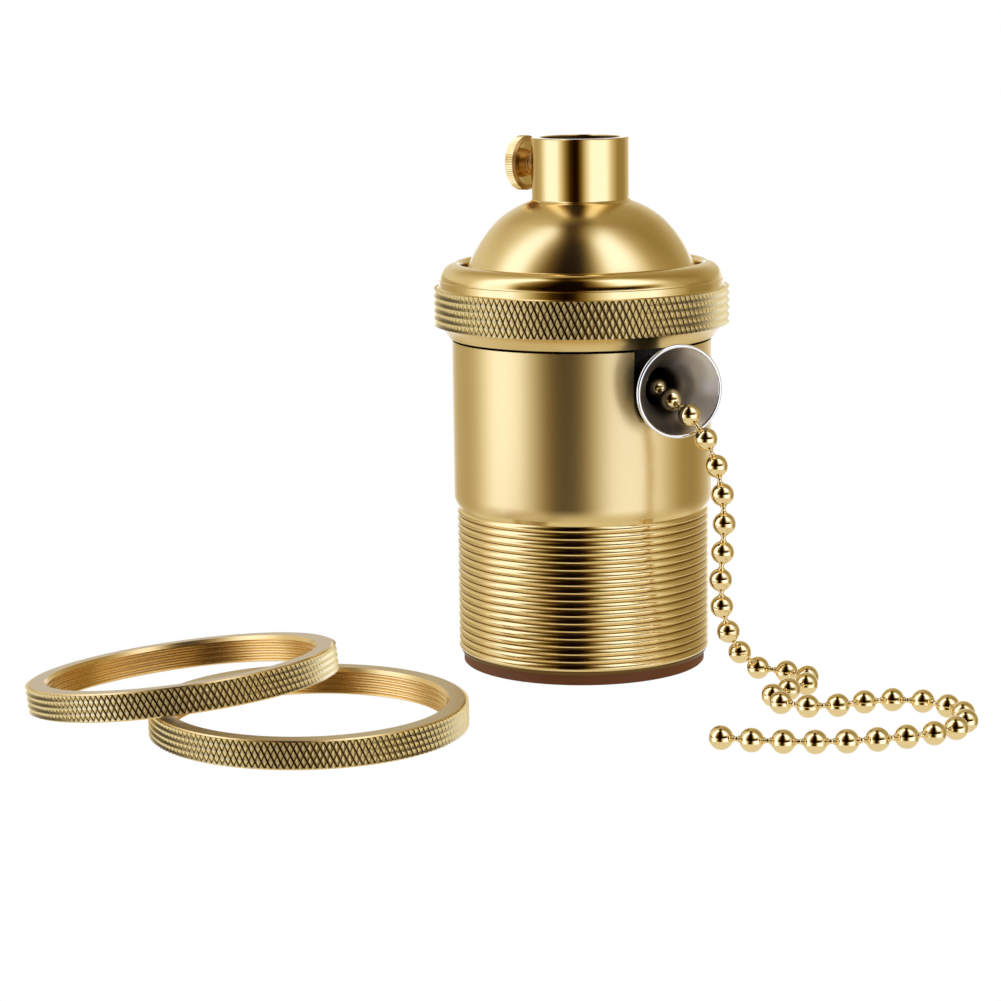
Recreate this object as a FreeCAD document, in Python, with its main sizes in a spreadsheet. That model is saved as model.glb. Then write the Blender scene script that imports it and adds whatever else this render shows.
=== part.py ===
"""Pull-chain lamp holder for an E27 lamp, with its two shade rings taken off and lying beside it.

Millimetres. The origin is the centre of the mouth, +Z runs up the holder's axis to the neck, and
+X points the way the bell mouth faces and the chain is pulled.
"""
import math
import os

import FreeCAD
import Part
import Sketcher

Vector = FreeCAD.Vector

# ---------------------------------------------------------------------------------------------
# Driving sizes. Each becomes a named cell of the spreadsheet "sizes".
# ---------------------------------------------------------------------------------------------
SIZES = {
    # shell and its inner insulating liner
    "shell_radius": 19.5,
    "shell_wall": 1.0,
    "shell_bottom": 1.6,
    "shell_thread_set_in": 0.35,
    "shell_thread_end": 24.4,
    "shell_shoulder_rise": 1.1,
    "shell_top_room": 0.2,
    "shell_chamfer": 0.5,
    "liner_gap": 0.12,
    "liner_wall": 0.85,
    "liner_set_down": 0.8,
    # collar that clamps the cap onto the shell
    "collar_band": 2.7,
    "collar_drop": 7.2,
    "collar_bevel": 1.95,
    "collar_bottom_rim": 0.3,
    "collar_knurl_width": 5.5,
    "collar_upper_set_in": 0.8,
    "collar_lip_gap": 0.35,
    "collar_lip_wall": 1.0,
    "collar_height": 11.1,
    "collar_fit": 0.08,
    "collar_seat_gap": 0.3,
    "collar_seat_rise": 0.6,
    "collar_upper_height": 0.5,
    # cap: domed cover with a tapped neck
    "cap_flange_set_in": 0.2,
    "cap_flange_thickness": 1.0,
    "cap_wall": 1.0,
    "dome_set_in": 1.8,
    "dome_shoulder_set_in": 5.2,
    "dome_shoulder_height": 10.2,
    "dome_crown_bend": 14.95,
    "dome_side_bend": 18.5,
    "dome_crown_height": 2.9,
    "neck_radius": 7.33,
    "neck_wall": 1.33,
    "neck_height": 9.4,
    # clamp screw through the neck
    "clamp_angle": 207.9,
    "clamp_drop": 4.1,
    "clamp_head_radius": 4.1,
    "clamp_head_width": 1.9,
    "clamp_head_gap": 1.87,
    "clamp_shank_radius": 1.95,
    "clamp_fit": 0.05,
    "clamp_tip_set": 0.2,
    "clamp_edge": 0.3,
    # lamp contacts
    "screw_shell_crest": 12.15,
    "screw_shell_depth": 1.35,
    "screw_shell_wall": 0.4,
    "screw_shell_pitch": 3.63,
    "screw_shell_lip_flare": 0.4,
    "screw_shell_lip_drop": 1.0,
    "screw_shell_eye": 7.6,
    "base_fit": 0.33,
    "base_bottom": 25.6,
    "base_thickness": 5.4,
    "contact_width": 5.0,
    "contact_thickness": 0.5,
    "contact_reach": 6.2,
    "contact_drop": 3.4,
    "rivet_radius": 1.2,
    "rivet_head_radius": 2.2,
    "rivet_head_height": 0.9,
    "contact_margin": 0.4,
    "contact_bend": 0.6,
    # switch housing
    "cover_room": 0.76,
    "housing_wall": 2.5,
    "flat_wall": 4.8,
    "cover_thickness": 2.7,
    "long_screw_radius": 1.5,
    "long_screw_head_radius": 2.7,
    "long_screw_head_height": 1.4,
    "long_screw_set_in": 3.6,
    "long_screw_angle": 165.0,
    "post_radius": 2.4,
    "screw_hole_play": 0.1,
    "screw_end_web": 1.0,
    "screw_end_gap": 0.3,
    # switch mechanism, about the spindle
    "spindle_x": 1.9,
    "spindle_y": -5.1,
    "spindle_radius": 1.5,
    "spindle_fit": 0.05,
    "spindle_seat": 1.6,
    "spindle_end_gap": 0.1,
    "stack_gap": 0.35,
    "rotor_room": 3.5,
    "rotor_lobe_depth": 2.8,
    "rotor_thickness": 4.6,
    "rotor_contact_thickness": 0.8,
    "ratchet_radius": 4.3,
    "ratchet_tooth_depth": 1.2,
    "ratchet_thickness": 2.0,
    "lever_reach": 9.0,
    "lever_thickness": 0.8,
    "lever_boss": 3.2,
    "lever_width": 5.0,
    "lever_tab_rim": 1.44,
    "lever_slot_width": 1.2,
    "lever_slot_length": 3.8,
    "pull_angle": 60.0,
    "pawl_thickness": 0.4,
    "pawl_foot": 2.2,
    "pawl_gap": 0.4,
    "pawl_tip": 0.9,
    "spring_radius": 2.7,
    "spring_wire": 0.5,
    "spring_turns": 3.0,
    "spring_pitch": 1.2,
    "spring_gap": 0.15,
    "blade_thickness": 0.4,
    "blade_height": 4.0,
    "blade_gap": 0.3,
    "blade_length": 7.6,
    "blade_play": 0.1,
    "contact_spring_drop": 2.5,
    # terminals on the cover
    "terminal_length": 8.0,
    "terminal_width": 5.6,
    "terminal_height": 3.4,
    "terminal_offset": 9.5,
    "terminal_angle": 60.0,
    "terminal_screw_radius": 1.25,
    "terminal_screw_head": 2.3,
    "terminal_screw_head_height": 1.3,
    # bell mouth that guides the chain, and the slot that it drops into
    "bell_y": 3.3,
    "bell_rise": 4.56,
    "bell_throat": 2.6,
    "bell_wall": 0.5,
    "bell_mouth_radius": 6.6,
    "bell_rim_radius": 0.35,
    "bell_flare_length": 8.0,
    "bell_flare_start": 2.4,
    "bell_flare_bend": 12.0,
    "bell_shoulder_radius": 3.9,
    "bell_shoulder_set_in": 1.6,
    "bell_shoulder_play": 0.3,
    "bell_shoulder_thickness": 0.8,
    "bell_nut_flats": 7.4,
    "bell_nut_thickness": 1.5,
    "bell_fit": 0.15,
    "slot_half_width": 4.1,
    "slot_drop": 5.5,
    "slot_corner": 2.0,
    # ball chain
    "bead_radius": 1.6,
    "bead_pitch": 4.25,
    "link_radius": 0.35,
    "link_gap": 0.05,
    "end_link_pitch": 7.0,
    "end_link_set": 2.98,
    "chain_drop": 0.2,
    # shade rings
    "ring_wall": 3.15,
    "ring_thread_play": 0.1,
    "ring_height": 4.0,
    "ring_chamfer": 0.4,
    "ring_x": 21.5,
    "ring_y": -52.7,
    "ring_spacing": 22.05,
    "ring_bearing": 213.9,
    "ring_lean_gap": 0.05,
}

BEAD_SIDES = 16
BEAD_LATITUDES = (-75, -54, -32, -11, 11, 32, 54, 75)
SCREW_SHELL_TURNS = 5
ROTOR_LOBES = 3
RATCHET_TEETH = 6

# Where the chain runs once it has left the straight pull inside the holder, measured from the
# middle of the bell mouth's rim: points of its hanging stretch (x, y, height as a share of the
# chain's own level), then points of the stretch that lies on the surface (x, y).
CHAIN_HANGS = [
    (-7.4, 0.0, 0.9955), (-3.3, 0.3, 0.9659), (0.3, 1.4, 0.925), (2.4, 4.7, 0.75),
    (3.3, 5.4, 0.5682), (1.8, 5.6, 0.3409), (0.4, 8.7, 0.1409),
]
CHAIN_LIES = [
    (0.2, 14.1), (3.5, 16.9), (8.0, 17.1), (11.0, 13.7), (12.5, 9.7), (15.2, 6.7),
    (19.2, 7.0), (22.3, 10.1), (23.0, 16.7), (24.4, 22.9), (30.4, 26.5), (36.0, 25.7),
    (40.8, 21.3), (41.9, 12.7), (39.2, 1.2), (28.0, -12.6),
]

doc = FreeCAD.newDocument("lamp_holder")
sheet = doc.addObject("Spreadsheet::Sheet", "sizes")
for row, (name, number) in enumerate(SIZES.items(), start=1):
    sheet.set("A%d" % row, name)
    sheet.set("B%d" % row, repr(number))
    sheet.setAlias("B%d" % row, name)
doc.recompute()


class Size:
    """A length that carries both its value and the spreadsheet expression that gives it."""

    def __init__(self, value, text=None):
        self.value = float(value)
        self.text = text or repr(float(value))

    def _join(self, other, sign, value):
        other = other if isinstance(other, Size) else Size(other)
        return Size(value(self.value, other.value), "(%s %s %s)" % (self.text, sign, other.text))

    def __add__(self, other):
        return self._join(other, "+", lambda a, b: a + b)

    def __sub__(self, other):
        return self._join(other, "-", lambda a, b: a - b)

    def __mul__(self, other):
        return self._join(other, "*", lambda a, b: a * b)

    def __truediv__(self, other):
        return self._join(other, "/", lambda a, b: a / b)

    def __neg__(self):
        return Size(0) - self


def size(name):
    return Size(SIZES[name], "sizes." + name)


def bind(thing, prop, amount):
    """Ties a property to the sheet."""
    amount = amount if isinstance(amount, Size) else Size(amount)
    thing.setExpression(prop, amount.text)


# ---------------------------------------------------------------------------------------------
# Radii, inward from the shell
# ---------------------------------------------------------------------------------------------
def shell_bore():
    return size("shell_radius") - size("shell_wall")


def thread_radius():
    return size("shell_radius") - size("shell_thread_set_in")


def liner_radius():
    return shell_bore() - size("liner_gap")


def base_radius():
    return liner_radius() - size("liner_wall") - size("base_fit")


def cavity_radius():
    return base_radius() - size("housing_wall")


def cavity_flat():
    """How far from the axis the housing is flat inside, where the bell mouth is nutted on."""
    return base_radius() - size("flat_wall")


def screw_circle():
    return base_radius() - size("long_screw_set_in")


def rotor_radius():
    return cavity_flat() - size("spindle_x") - size("rotor_room")


def dome_radius():
    return size("shell_radius") - size("dome_set_in")


def neck_bore():
    return size("neck_radius") - size("neck_wall")


def ring_bore():
    return thread_radius() + size("ring_thread_play")


def ring_radius():
    return ring_bore() + size("ring_wall")


# ---------------------------------------------------------------------------------------------
# Levels, upward from the base. The switch's pieces stack up the spindle, each above the last.
# ---------------------------------------------------------------------------------------------
def floor_level():
    return size("base_bottom") + size("base_thickness")


def rotor_level():
    return floor_level() + size("rivet_head_height") * 0.6 + size("stack_gap")


def rotor_contact_level():
    return rotor_level() + size("rotor_thickness")


def ratchet_level():
    return rotor_contact_level() + size("rotor_contact_thickness")


def lever_level():
    return ratchet_level() + size("ratchet_thickness") + size("stack_gap")


def bell_level():
    return lever_level() + size("bell_rise")


def chain_level():
    return bell_level() - size("chain_drop")


def cover_level():
    """0.6 of the nut's flats is just over its half height, corner to corner."""
    return bell_level() + size("bell_nut_flats") * 0.6 + size("cover_room")


def terminal_level():
    return cover_level() + size("cover_thickness")


def shell_top():
    head = size("terminal_height") + size("terminal_screw_head_height")
    return terminal_level() + head + size("shell_top_room")


def dome_shoulder_level():
    return shell_top() + size("dome_shoulder_height")


def neck_foot():
    return dome_shoulder_level() + size("dome_crown_height")


def neck_top():
    return neck_foot() + size("neck_height")


# ---------------------------------------------------------------------------------------------
# Distances along the bell mouth's axis
# ---------------------------------------------------------------------------------------------
def bell_shoulder_x():
    return base_radius() - size("bell_shoulder_set_in")


def bell_flare_x():
    return bell_shoulder_x() + size("bell_flare_start")


def bell_mouth_x():
    return bell_flare_x() + size("bell_flare_length")


def nut_x():
    return cavity_flat() - size("bell_nut_thickness")


# ---------------------------------------------------------------------------------------------
# Ways of making a piece
# ---------------------------------------------------------------------------------------------
ZERO = Size(0)


def draw(sketch, outline):
    """Draws a closed outline. A point is (across, along) or (across, along, bend): bend is the
    radius of the arc that ends there, positive where the arc turns left on its way."""
    for index, point in enumerate(outline):
        start = outline[index - 1]
        first = Vector(start[0].value, start[1].value, 0)
        last = Vector(point[0].value, point[1].value, 0)
        if len(point) == 2:
            sketch.addGeometry(Part.LineSegment(first, last), False)
            continue
        bend = point[2].value
        chord = last - first
        left = Vector(-chord.y, chord.x, 0).normalize()
        rise = math.sqrt(bend ** 2 - (chord.Length / 2) ** 2)
        centre = first + chord / 2 + left * math.copysign(rise, bend)
        if bend < 0:
            first, last = last, first
        angles = [math.atan2(end.y - centre.y, end.x - centre.x) for end in (first, last)]
        circle = Part.Circle(centre, Vector(0, 0, 1), abs(bend))
        sketch.addGeometry(Part.ArcOfCircle(circle, angles[0], angles[1]), False)


def fix(sketch, outline):
    """Joins the outline's edges and ties each corner to the sheet."""
    count = len(outline)
    turns_right = [len(point) == 3 and point[2].value < 0 for point in outline]
    for index in range(count):
        after = (index + 1) % count
        last = 1 if turns_right[index] else 2
        first = 2 if turns_right[after] else 1
        sketch.addConstraint(Sketcher.Constraint("Coincident", index, last, after, first))
    for index, point in enumerate(outline):
        last = 1 if turns_right[index] else 2
        for kind, length, axis in (("DistanceX", point[0], -2), ("DistanceY", point[1], -1)):
            if length is ZERO:
                sketch.addConstraint(Sketcher.Constraint("PointOnObject", index, last, axis))
                continue
            number = sketch.addConstraint(Sketcher.Constraint(
                kind, -1, 1, index, last, length.value))
            sketch.setExpression("Constraints[%d]" % number, length.text)
        if len(point) == 3:
            bend = -point[2] if turns_right[index] else point[2]
            number = sketch.addConstraint(Sketcher.Constraint("Radius", index, bend.value))
            sketch.setExpression("Constraints[%d]" % number, bend.text)


def body_with_sketch(label, plane, outline):
    body = doc.addObject("PartDesign::Body", label)
    sketch = body.newObject("Sketcher::SketchObject", label + "_outline")
    role = next(f for f in body.Origin.OriginFeatures if f.Role == plane)
    sketch.AttachmentSupport = [(role, "")]
    sketch.MapMode = "FlatFace"
    draw(sketch, outline)
    fix(sketch, outline)
    return body, sketch


def turned(label, outline):
    """A piece turned about its own Z axis from an outline of (radius, height) points."""
    body, sketch = body_with_sketch(label, "XZ_Plane", outline)
    turn = body.newObject("PartDesign::Revolution", label + "_turn")
    turn.Profile = sketch
    turn.ReferenceAxis = (sketch, ["V_Axis"])
    turn.Angle = 360
    body.Tip = turn
    return body


def plate(label, outline, thickness, plane="XY_Plane", centred=False):
    """A flat piece of the given thickness, on a plane through its own origin."""
    body, sketch = body_with_sketch(label, plane, outline)
    pad = body.newObject("PartDesign::Pad", label + "_pad")
    pad.Profile = sketch
    bind(pad, "Length", thickness)
    pad.Midplane = centred
    body.Tip = pad
    return body


def rod(label, radius, length):
    cylinder = doc.addObject("Part::Cylinder", label)
    bind(cylinder, "Radius", radius)
    bind(cylinder, "Height", length)
    return cylinder


def block(label, length, width, height):
    box = doc.addObject("Part::Box", label)
    bind(box, "Length", length)
    bind(box, "Width", width)
    bind(box, "Height", height)
    return box


def at(thing, x=ZERO, y=ZERO, z=ZERO, turn=None):
    """Places a piece. turn is (axis, angle) with the angle in degrees."""
    if turn:
        thing.Placement.Rotation = FreeCAD.Rotation(Vector(*turn[0]), turn[1])
    for letter, amount in zip("xyz", (x, y, z)):
        if amount is not ZERO:
            bind(thing, "Placement.Base." + letter, amount)
    return thing


def less(label, base, *tools):
    """The base with the tools cut away."""
    for number, tool in enumerate(tools, start=1):
        cut = doc.addObject("Part::Cut", label if number == len(tools) else label + "_cut%d" % number)
        cut.Base = base
        cut.Tool = tool
        base = cut
    return base


def joined(label, *pieces):
    fuse = doc.addObject("Part::MultiFuse", label)
    fuse.Shapes = list(pieces)
    return fuse


def group(label, *pieces):
    """Like pieces that stay separate solids of one sub-part."""
    compound = doc.addObject("Part::Compound", label)
    compound.Links = list(pieces)
    return compound


def polar(radius, degrees):
    """A corner at a radius and an angle about the sketch's origin."""
    angle = math.radians(degrees)
    return radius * math.cos(angle), radius * math.sin(angle)


PARTS = []


def keep(piece, label):
    piece.Label = label
    PARTS.append(piece)
    return piece


# ---------------------------------------------------------------------------------------------
# Shell, liner, collar and cap
# ---------------------------------------------------------------------------------------------
def slot_cutter(label):
    """The upright slot, open at the top, that lets the bell mouth drop into place."""
    half, corner = size("slot_half_width"), size("slot_corner")
    low = bell_level() - size("slot_drop")
    high = shell_top() + size("shell_wall")
    centre = size("bell_y")
    outline = [
        (centre - half, low + corner),
        (centre - half + corner, low, corner),
        (centre + half - corner, low),
        (centre + half, low + corner, corner),
        (centre + half, high),
        (centre - half, high),
    ]
    return plate(label, outline, size("shell_radius") * 1.1, plane="YZ_Plane")


def shell():
    radius, bore, chamfer = size("shell_radius"), shell_bore(), size("shell_chamfer")
    thread, bottom, top = thread_radius(), size("shell_bottom"), shell_top()
    thread_end = size("shell_thread_end")
    wall = turned("shell_wall", [
        (bore, bottom), (thread - chamfer, bottom), (thread, bottom + chamfer),
        (thread, thread_end), (radius, thread_end + size("shell_shoulder_rise")),
        (radius, top), (bore, top),
    ])
    return keep(less("shell_slotted", wall, slot_cutter("shell_slot")), "shell")


def insulating_liner():
    outer = liner_radius()
    inner = outer - size("liner_wall")
    top = shell_top() - size("liner_set_down")
    wall = turned("liner_wall_tube", [(inner, ZERO), (outer, ZERO), (outer, top), (inner, top)])
    return keep(less("liner_slotted", wall, slot_cutter("liner_slot")), "insulating_liner")


def collar():
    """Knurled ring: bevelled foot, knurl band, and a lip rolled in over the cap's flange."""
    bore = size("shell_radius") + size("collar_fit")
    bottom = shell_top() - size("collar_drop")
    radius = size("shell_radius") + size("collar_band")
    band = bottom + size("collar_bevel")
    step = band + size("collar_knurl_width")
    upper = radius - size("collar_upper_set_in")
    top = bottom + size("collar_height")
    lip, wall = dome_radius() + size("collar_lip_gap"), size("collar_lip_wall")
    seat = shell_top() + size("cap_flange_thickness") + size("collar_seat_gap")
    return keep(turned("collar_turned", [
        (bore, bottom), (bore + size("collar_bottom_rim"), bottom), (radius, band),
        (radius, step), (upper, step), (upper, step + size("collar_upper_height")),
        (lip + wall, top, wall * 3.4), (lip, top - wall / 2, wall * 0.75),
        (lip, top - wall), (lip + wall, top - wall * 1.3),
        (bore, seat + size("collar_seat_rise")), (bore, seat),
    ]), "collar")


def cap():
    """Spun dome on a flange, drawn up into the neck, with a tapped hole for the clamp screw."""
    wall, flange = size("cap_wall"), size("cap_flange_thickness")
    foot, edge = shell_top(), size("shell_radius") - size("cap_flange_set_in")
    dome, rise = dome_radius(), dome_shoulder_level()
    shoulder = dome - size("dome_shoulder_set_in")
    neck, bore, bottom = size("neck_radius"), neck_bore(), neck_foot()
    side, crown = size("dome_side_bend"), size("dome_crown_bend")
    spun = turned("cap_spun", [
        (dome - wall, foot), (edge, foot), (edge, foot + flange), (dome, foot + flange),
        (shoulder, rise, side), (neck, bottom, crown), (neck, neck_top()), (bore, neck_top()),
        (bore, bottom - wall * 0.7), (shoulder - wall * 0.75, rise - wall * 0.7, -crown),
        (dome - wall, foot + flange, -side),
    ])
    hole = rod("cap_screw_hole", size("clamp_shank_radius") + size("clamp_fit"), neck * 1.5)
    aim(hole, ZERO)
    return keep(less("cap_drilled", spun, hole), "cap")


def aim(piece, start):
    """Turns a piece's own +Z outward along the clamp screw's axis, from a distance off the axis."""
    bearing = math.radians(SIZES["clamp_angle"])
    across = Vector(-math.sin(bearing), math.cos(bearing), 0)
    piece.Placement.Rotation = FreeCAD.Rotation(across, 90)
    bind(piece, "Placement.Base.x", start * math.cos(bearing))
    bind(piece, "Placement.Base.y", start * math.sin(bearing))
    bind(piece, "Placement.Base.z", neck_top() - size("clamp_drop"))


def neck_clamp_screw():
    """Round-headed screw through the neck. Its own Z is the screw's axis."""
    shank, head = size("clamp_shank_radius"), size("clamp_head_radius")
    tip = neck_bore() + size("clamp_tip_set")
    reach = size("neck_radius") + size("clamp_head_gap") - tip
    width, edge = size("clamp_head_width"), size("clamp_edge")
    screw = turned("clamp_screw_turned", [
        (ZERO, ZERO), (shank - edge, ZERO), (shank, edge), (shank, reach),
        (head - edge, reach), (head, reach + edge), (head, reach + width - edge),
        (head - edge, reach + width), (ZERO, reach + width),
    ])
    aim(screw, tip)
    return keep(screw, "neck_clamp_screw")


# ---------------------------------------------------------------------------------------------
# Lamp contacts
# ---------------------------------------------------------------------------------------------
def screw_shell():
    """Rolled sheet socket for the lamp's thread, with a lip at the mouth and an eye at the top."""
    crest = size("screw_shell_crest")
    root = crest + size("screw_shell_depth")
    wall, pitch = size("screw_shell_wall"), size("screw_shell_pitch")
    top = size("base_bottom")
    lip, drop = root + size("screw_shell_lip_flare"), size("screw_shell_lip_drop")
    foot = top - wall - pitch * SCREW_SHELL_TURNS
    inner, outer = [], []
    for turn in range(SCREW_SHELL_TURNS):
        low = foot + pitch * turn
        inner += [(crest, low), (root, low + pitch / 2)]
        outer += [(crest + wall, low), (root + wall, low + pitch / 2)]
    eye = size("screw_shell_eye")
    outline = inner + [(crest, top - wall), (eye, top - wall), (eye, top), (crest + wall, top)]
    outline += list(reversed(outer))[:-1]
    outline += [(crest + wall, foot), (lip + wall, foot - drop), (lip, foot - drop - wall / 2)]
    return keep(turned("screw_shell_rolled", outline), "screw_shell")


def screw_spots(offset, start, count):
    """Angles and centres of fasteners set evenly on a circle."""
    for number in range(count):
        angle = math.radians(start + 360 * number / count)
        yield number, offset * math.cos(angle), offset * math.sin(angle)


def socket_base():
    """Moulded disc that carries the screw shell, the centre contact and the spindle's foot."""
    thickness, web = size("base_thickness"), size("screw_end_web")
    disc = at(rod("base_disc", base_radius(), thickness), z=size("base_bottom"))
    rivet = at(rod("base_rivet_hole", size("rivet_radius"), thickness), z=size("base_bottom"))
    foot = at(rod("base_spindle_hole", size("spindle_radius") + size("spindle_fit"),
                  size("spindle_seat")),
              size("spindle_x"), size("spindle_y"), floor_level() - size("spindle_seat"))
    holes = [rivet, foot]
    for number, x, y in screw_spots(screw_circle(), SIZES["long_screw_angle"], 2):
        hole = rod("base_screw_hole%d" % number, size("long_screw_radius"), thickness - web)
        holes.append(at(hole, x, y, size("base_bottom") + web))
    return keep(less("base_drilled", disc, *holes), "socket_base")


def centre_contact():
    """Springy strip that the lamp's tip presses on, bent down from under the base."""
    thick, reach, drop = size("contact_thickness"), size("contact_reach"), size("contact_drop")
    top = size("base_bottom")
    half = size("rivet_head_radius") + size("contact_margin")
    bend = size("contact_bend")
    strip = plate("contact_strip", [
        (-half, top - thick), (half, top - thick), (half + bend, top - drop),
        (half - reach, top - drop - bend), (half - reach, top - drop - bend - thick),
        (half + bend + thick, top - drop - thick), (half + bend, top), (-half, top),
    ], size("contact_width"), plane="XZ_Plane", centred=True)
    hole = at(rod("contact_rivet_hole", size("rivet_radius"), thick * 2), z=top - thick * 1.5)
    return keep(less("contact_drilled", strip, hole), "centre_contact")


def contact_rivet():
    """Rivet that clinches the centre contact and carries its current through the base."""
    shank, head = size("rivet_radius"), size("rivet_head_radius")
    height = size("rivet_head_height")
    bottom = size("base_bottom") - size("contact_thickness")
    top = size("base_bottom") + size("base_thickness")
    return keep(turned("contact_rivet_turned", [
        (ZERO, bottom - height), (shank, bottom - height), (head, bottom - height / 2),
        (head, bottom), (shank, bottom), (shank, top), (head * 0.8, top),
        (head * 0.8, top + height * 0.6), (ZERO, top + height * 0.6),
    ]), "contact_rivet")


# ---------------------------------------------------------------------------------------------
# Switch housing
# ---------------------------------------------------------------------------------------------
def along_bell(piece, x):
    """Turns a piece's own Z onto +X, on the bell mouth's axis."""
    return at(piece, x, size("bell_y"), bell_level(), turn=((0, 1, 0), 90))


def switch_housing():
    """Moulded cup round the switch: a flat inside where the bell mouth is nutted on."""
    radius, cavity = base_radius(), cavity_radius()
    low = floor_level()
    height = cover_level() - low
    cup = at(rod("housing_outside", radius, height), z=low)
    round_room = at(rod("housing_room", cavity, height), z=low)
    flat_side = at(block("housing_flat", cavity + cavity_flat(), cavity * 2, height),
                   -cavity, -cavity, low)
    room = doc.addObject("Part::Common", "housing_cavity")
    room.Base = round_room
    room.Tool = flat_side
    seat = along_bell(rod("housing_bell_seat", size("bell_shoulder_radius")
                          + size("bell_shoulder_play"), radius), bell_shoulder_x())
    way = along_bell(rod("housing_bell_hole", size("bell_throat") + size("bell_wall")
                         + size("bell_fit"), radius), nut_x())
    posts, holes = [], []
    for number, x, y in screw_spots(screw_circle(), SIZES["long_screw_angle"], 2):
        post = rod("housing_post%d" % number, size("post_radius"), height)
        posts.append(at(post, x, y, low))
        hole = rod("housing_screw_hole%d" % number, size("long_screw_radius") + size("screw_hole_play"),
                   height)
        holes.append(at(hole, x, y, low))
    room_round_posts = less("housing_room_round_posts", room, *posts)
    return keep(less("housing_drilled", cup, room_round_posts, seat, way, *holes),
                "switch_housing")


def switch_cover():
    """Disc that closes the housing, steadies the spindle and carries the terminals."""
    thick, low = size("cover_thickness"), cover_level()
    disc = at(rod("cover_disc", base_radius(), thick), z=low)
    holes = [at(rod("cover_spindle_hole", size("spindle_radius") + size("spindle_fit"),
                    size("spindle_seat")), size("spindle_x"), size("spindle_y"), low)]
    for number, x, y in screw_spots(screw_circle(), SIZES["long_screw_angle"], 2):
        hole = rod("cover_screw_hole%d" % number,
                   size("long_screw_radius") + size("screw_hole_play"), thick)
        holes.append(at(hole, x, y, low))
    for number, x, y in screw_spots(size("terminal_offset"), SIZES["terminal_angle"], 2):
        hole = rod("cover_terminal_hole%d" % number, size("terminal_screw_radius"), thick * 0.6)
        holes.append(at(hole, x, y, low + thick * 0.4))
    return keep(less("cover_drilled", disc, *holes), "switch_cover")


def headed_screw(label, shank, head, length, height):
    """A cheese-headed screw, slotted, that hangs down from its seat at its own origin."""
    body = turned(label + "_turned", [
        (ZERO, -length), (shank, -length), (shank, ZERO), (head, ZERO), (head, height),
        (ZERO, height),
    ])
    slot = at(block(label + "_slot", head * 4, height * 0.5, height),
              head * -2, height * -0.25, height * 0.55)
    return less(label, body, slot)


def housing_screws():
    """Two long screws that hold cover, housing and base together."""
    tip = size("base_bottom") + size("screw_end_web") + size("screw_end_gap")
    length = terminal_level() - tip
    screws = []
    for number, x, y in screw_spots(screw_circle(), SIZES["long_screw_angle"], 2):
        screw = headed_screw("housing_screw%d" % number, size("long_screw_radius"),
                             size("long_screw_head_radius"), length,
                             size("long_screw_head_height"))
        screws.append(at(screw, x, y, terminal_level()))
    return keep(group("housing_screw_pair", *screws), "housing_screws")


def terminal(number, label):
    """Brass terminal block on the cover, drilled for the wire and for its screw."""
    long, wide, high = size("terminal_length"), size("terminal_width"), size("terminal_height")
    angle = math.radians(SIZES["terminal_angle"] + 180 * number)
    x, y = size("terminal_offset") * math.cos(angle), size("terminal_offset") * math.sin(angle)
    low = terminal_level()
    body = at(block(label + "_block", long, wide, high), x - long / 2, y - wide / 2, low)
    screw_hole = at(rod(label + "_screw_hole", size("terminal_screw_radius")
                        + size("screw_hole_play"), high), x, y, low)
    wire = at(rod(label + "_wire_hole", high * 0.22, long), x - long / 2, y + wide * 0.28,
              low + high * 0.45, turn=((0, 1, 0), 90))
    return keep(less(label + "_drilled", body, screw_hole, wire), label)


def terminal_screws():
    screws = []
    for number, x, y in screw_spots(size("terminal_offset"), SIZES["terminal_angle"], 2):
        screw = headed_screw("terminal_screw%d" % number, size("terminal_screw_radius"),
                             size("terminal_screw_head"),
                             size("terminal_height") + size("cover_thickness") * 0.5,
                             size("terminal_screw_head_height"))
        screws.append(at(screw, x, y, terminal_level() + size("terminal_height")))
    return keep(group("terminal_screw_pair", *screws), "terminal_screws")


# ---------------------------------------------------------------------------------------------
# Switch mechanism, about the spindle
# ---------------------------------------------------------------------------------------------
def on_spindle(piece, level, turn=0.0):
    return at(piece, size("spindle_x"), size("spindle_y"), level, turn=((0, 0, 1), turn))


def rotor_spindle():
    into = size("spindle_seat") - size("spindle_end_gap")
    low, high = floor_level() - into, cover_level() + into
    spindle = rod("spindle_rod", size("spindle_radius"), high - low)
    return keep(on_spindle(spindle, low), "rotor_spindle")


def lobed(label, thickness):
    """Three lobes about a hub, for the switch rotor and its contact."""
    radius = rotor_radius()
    root = radius - size("rotor_lobe_depth")
    outline = []
    for lobe in range(ROTOR_LOBES):
        middle = 360 / ROTOR_LOBES * lobe
        for offset, reach in ((-38, root), (-20, radius), (20, radius), (38, root)):
            outline.append(polar(reach, middle + offset))
    body = plate(label + "_plate", outline, thickness)
    bore = rod(label + "_bore", size("spindle_radius"), thickness)
    return less(label + "_bored", body, bore)


def switch_rotor():
    piece = lobed("rotor", size("rotor_thickness"))
    return keep(on_spindle(piece, rotor_level()), "switch_rotor")


def rotor_contact():
    piece = lobed("rotor_contact", size("rotor_contact_thickness"))
    return keep(on_spindle(piece, rotor_contact_level()), "rotor_contact")


def ratchet_wheel():
    """Six saw teeth, one for each pull of the chain. The steep flanks face the pawl."""
    outline = []
    tip, depth = size("ratchet_radius"), size("ratchet_tooth_depth")
    for tooth in range(RATCHET_TEETH):
        start = 360 / RATCHET_TEETH * tooth
        outline.append(polar(tip - depth, start))
        outline.append(polar(tip, start + 4))
        outline.append(polar(tip - depth / 2, start + 34))
    body = plate("ratchet_plate", outline, size("ratchet_thickness"))
    bore = rod("ratchet_bore", size("spindle_radius"), size("ratchet_thickness"))
    return keep(on_spindle(less("ratchet_bored", body, bore), ratchet_level()), "ratchet_wheel")


def lever_rest_turn():
    """The arm's own +Y swings half the pull to either side of square to the chain."""
    return SIZES["pull_angle"] / 2


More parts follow.
